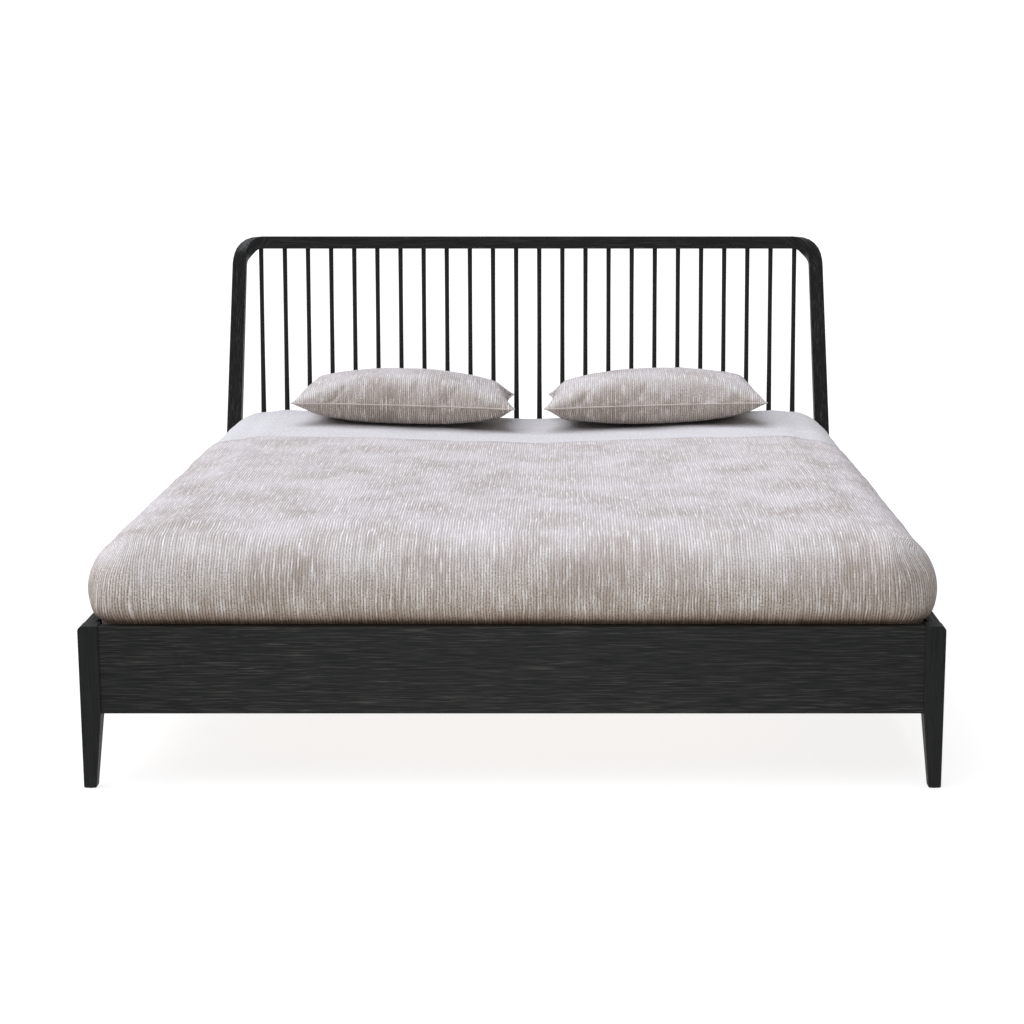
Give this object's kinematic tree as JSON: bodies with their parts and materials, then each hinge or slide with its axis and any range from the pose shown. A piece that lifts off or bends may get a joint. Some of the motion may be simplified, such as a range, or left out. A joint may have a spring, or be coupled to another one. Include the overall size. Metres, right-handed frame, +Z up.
{
  "type": "spindle bed",
  "caption": "Double bed in black oak with a leaning spindle headboard, tapered legs, slat base, mattress, woven coverlet and two pillows.",
  "frame": {"origin": "on the floor under the middle of the bed's whole outline, headboard included", "axes": "+X across the bed to the right seen from its foot, +Y from the foot to the head, +Z up"},
  "size_m": [1.9, 2.1508, 1.0903],
  "materials": {
    "black_oak": "satin",
    "plain_timber": "matte",
    "zinc_steel": "satin",
    "nylon": "matte",
    "webbing": "matte",
    "ticking": "matte",
    "white_cotton": "matte",
    "woven_greige": "matte"
  },
  "bodies": {
    "frame": {"foot_leg_left": "black_oak", "foot_leg_right": "black_oak", "head_post_left": "black_oak", "head_post_right": "black_oak", "foot_rail": "black_oak", "side_rail_left": "black_oak", "side_rail_right": "black_oak", "head_rail": "black_oak", "crest_rail": "black_oak", "crest_corner_left": "black_oak", "crest_corner_right": "black_oak", "spindle_rail": "black_oak", "spindle_01": "black_oak", "spindle_02": "black_oak", "spindle_03": "black_oak", "spindle_04": "black_oak", "spindle_05": "black_oak", "spindle_06": "black_oak", "spindle_07": "black_oak", "spindle_08": "black_oak", "spindle_09": "black_oak", "spindle_10": "black_oak", "spindle_11": "black_oak", "spindle_12": "black_oak", "spindle_13": "black_oak", "spindle_14": "black_oak", "spindle_15": "black_oak", "spindle_16": "black_oak", "spindle_17": "black_oak", "spindle_18": "black_oak", "spindle_19": "black_oak", "spindle_20": "black_oak", "spindle_21": "black_oak", "spindle_22": "black_oak", "spindle_23": "black_oak", "spindle_24": "black_oak", "slat_ledge_left": "plain_timber", "slat_ledge_right": "plain_timber", "centre_beam": "plain_timber", "centre_leg_foot": "plain_timber", "centre_leg_head": "plain_timber", "headboard_dowels": "plain_timber", "rail_dowels": "plain_timber", "corner_brackets": "zinc_steel", "corner_bolts": "zinc_steel", "corner_nuts": "zinc_steel", "beam_shoe_foot": "zinc_steel", "beam_shoe_head": "zinc_steel", "centre_leg_studs": "zinc_steel", "leg_glides": "nylon"},
    "slat_base": {"slats_left": "plain_timber", "slats_right": "plain_timber", "slat_straps": "webbing"},
    "bedding": {"mattress": "ticking", "quilt": "white_cotton", "coverlet": "woven_greige"},
    "pillow_left": {"pillow_left": "woven_greige"},
    "pillow_right": {"pillow_right": "woven_greige"}
  },
  "joints": [
    {"name": "slat_base_lift", "type": "slide", "parent": "frame", "child": "slat_base", "axis": [0, 0, 1], "range_m": [0, 0.3]},
    {"name": "bedding_lift", "type": "slide", "parent": "slat_base", "child": "bedding", "axis": [0, 0, 1], "range_m": [0, 0.3]},
    {"name": "pillow_left_lift", "type": "slide", "parent": "bedding", "child": "pillow_left", "axis": [0, 0, 1], "range_m": [0, 0.3]},
    {"name": "pillow_right_lift", "type": "slide", "parent": "bedding", "child": "pillow_right", "axis": [0, 0, 1], "range_m": [0, 0.3]}
  ]
}
